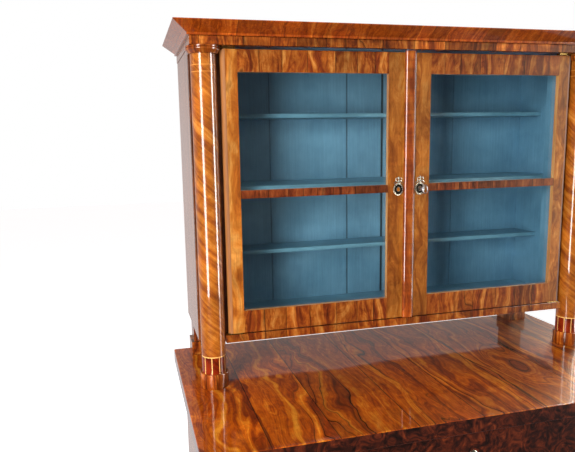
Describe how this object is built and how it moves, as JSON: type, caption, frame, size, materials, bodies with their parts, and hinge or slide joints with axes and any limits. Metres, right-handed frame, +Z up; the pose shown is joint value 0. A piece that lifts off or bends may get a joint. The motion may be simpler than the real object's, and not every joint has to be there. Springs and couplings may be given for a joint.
{
  "type": "secretary desk with glazed cabinet",
  "caption": "Veneered writing commode with pull-out fall-front writing drawer, deep drawers, and a glazed two-door cabinet raised on columns over the desk top.",
  "frame": {"origin": "on the floor, under the middle of the bounding box", "axes": "+Z up, +X to the right as seen from the front, -Y towards the user"},
  "size_m": [1.197, 0.625, 1.7464],
  "materials": {
    "top_veneer": "french-polished walnut veneer, book-matched, dark streaks",
    "door_veneer": "french-polished walnut veneer",
    "frieze_veneer": "french-polished walnut veneer, grain upright",
    "cornice_veneer": "french-polished walnut veneer, grain upright",
    "side_veneer": "french-polished walnut veneer, grain upright",
    "column_veneer": "french-polished walnut veneer with maple stringing",
    "capital_veneer": "turned walnut, french-polished",
    "burl_veneer": "french-polished dark walnut burr",
    "dark_walnut": "french-polished dark walnut",
    "oak": "planed oak, waxed",
    "gallery_walnut": "walnut, satin",
    "pine_back": "planed pine, aged, unfinished",
    "blue_paint": "painted blue-grey, satin brushed paint",
    "window_glass": "old window glass, clear",
    "aged_brass": "cast brass, aged",
    "iron": "forged iron, worn bright"
  },
  "bodies": {
    "carcase": {"desk_top": "top_veneer", "base_side_left": "side_veneer", "base_side_right": "side_veneer", "base_back": "pine_back", "plinth_front": "dark_walnut", "base_floor": "oak", "drawer_board": "oak", "writing_drawer_board": "dark_walnut", "foot_front_left": "dark_walnut", "foot_front_right": "dark_walnut", "foot_back_left": "dark_walnut", "foot_back_right": "dark_walnut", "base_column_left": "column_veneer", "base_column_right": "column_veneer", "cabinet_side_left": "side_veneer", "cabinet_side_right": "side_veneer", "cabinet_back": "blue_paint", "cabinet_floor": "blue_paint", "cabinet_rail": "door_veneer", "cabinet_ceiling": "blue_paint", "frieze": "frieze_veneer", "cornice": "cornice_veneer", "shelf_lower": "blue_paint", "shelf_middle": "blue_paint", "shelf_upper": "blue_paint", "column_drum_left": "column_veneer", "column_drum_right": "column_veneer", "column_shaft_left": "column_veneer", "column_shaft_right": "column_veneer", "column_capital_left": "capital_veneer", "column_capital_right": "capital_veneer", "rear_post_left": "side_veneer", "rear_post_right": "side_veneer", "pivot_lower_left": "aged_brass", "pivot_lower_right": "aged_brass", "pivot_upper_left": "aged_brass", "pivot_upper_right": "aged_brass"},
    "lower_drawer": {"lower_drawer_front": "burl_veneer", "lower_drawer_box": "oak"},
    "middle_drawer": {"middle_drawer_front": "burl_veneer", "middle_drawer_box": "oak"},
    "writing_drawer": {"writing_tray": "oak", "gallery_case": "gallery_walnut"},
    "fall": {"fall_front": "burl_veneer", "stay_left": "aged_brass", "stay_right": "aged_brass"},
    "small_drawer_left": {"small_drawer_left": "gallery_walnut"},
    "small_drawer_right": {"small_drawer_right": "gallery_walnut"},
    "door_left": {"door_frame_left": "door_veneer", "pane_left_lower": "window_glass", "pane_left_upper": "window_glass", "astragal": "door_veneer", "keyhole_plate_left": "aged_brass"},
    "door_right": {"door_frame_right": "door_veneer", "pane_right_lower": "window_glass", "pane_right_upper": "window_glass", "keyhole_plate_right": "aged_brass", "lock_case": "iron"},
    "key": {"key": "iron"},
    "bolt": {"lock_bolt": "iron"}
  },
  "joints": [
    {"name": "lower_drawer_slide", "type": "slide", "parent": "carcase", "child": "lower_drawer", "axis": [0, -1, 0], "range_m": [0, 0.36]},
    {"name": "middle_drawer_slide", "type": "slide", "parent": "carcase", "child": "middle_drawer", "axis": [0, -1, 0], "range_m": [0, 0.36]},
    {"name": "writing_drawer_slide", "type": "slide", "parent": "carcase", "child": "writing_drawer", "axis": [0, -1, 0], "range_m": [0, 0.29]},
    {"name": "fall_turn", "type": "hinge", "parent": "writing_drawer", "child": "fall", "pos_m": [0, -0.2915, 0.693], "axis": [1, 0, 0], "range_deg": [0, 90]},
    {"name": "small_drawer_left_slide", "type": "slide", "parent": "writing_drawer", "child": "small_drawer_left", "axis": [0, -1, 0], "range_m": [0, 0.14]},
    {"name": "small_drawer_right_slide", "type": "slide", "parent": "writing_drawer", "child": "small_drawer_right", "axis": [0, -1, 0], "range_m": [0, 0.14]},
    {"name": "door_left_turn", "type": "hinge", "parent": "carcase", "child": "door_left", "pos_m": [-0.4705, 0.0275, 1.01], "axis": [0, 0, -1], "range_deg": [0, 90]},
    {"name": "door_right_turn", "type": "hinge", "parent": "carcase", "child": "door_right", "pos_m": [0.4705, 0.0275, 1.01], "axis": [0, 0, 1], "range_deg": [0, 90]},
    {"name": "key_turn", "type": "hinge", "parent": "door_right", "child": "key", "pos_m": [0.0318, 0.0165, 1.3515], "axis": [0, 1, 0], "range_deg": [0, 180]},
    {"name": "bolt_throw", "type": "slide", "parent": "door_right", "child": "bolt", "axis": [-1, 0, 0], "range_m": [0, 0.012]}
  ],
  "couplings": [
    {"joint": "bolt_throw", "follows": "key_turn", "m_per_rad": 0.0038}
  ]
}
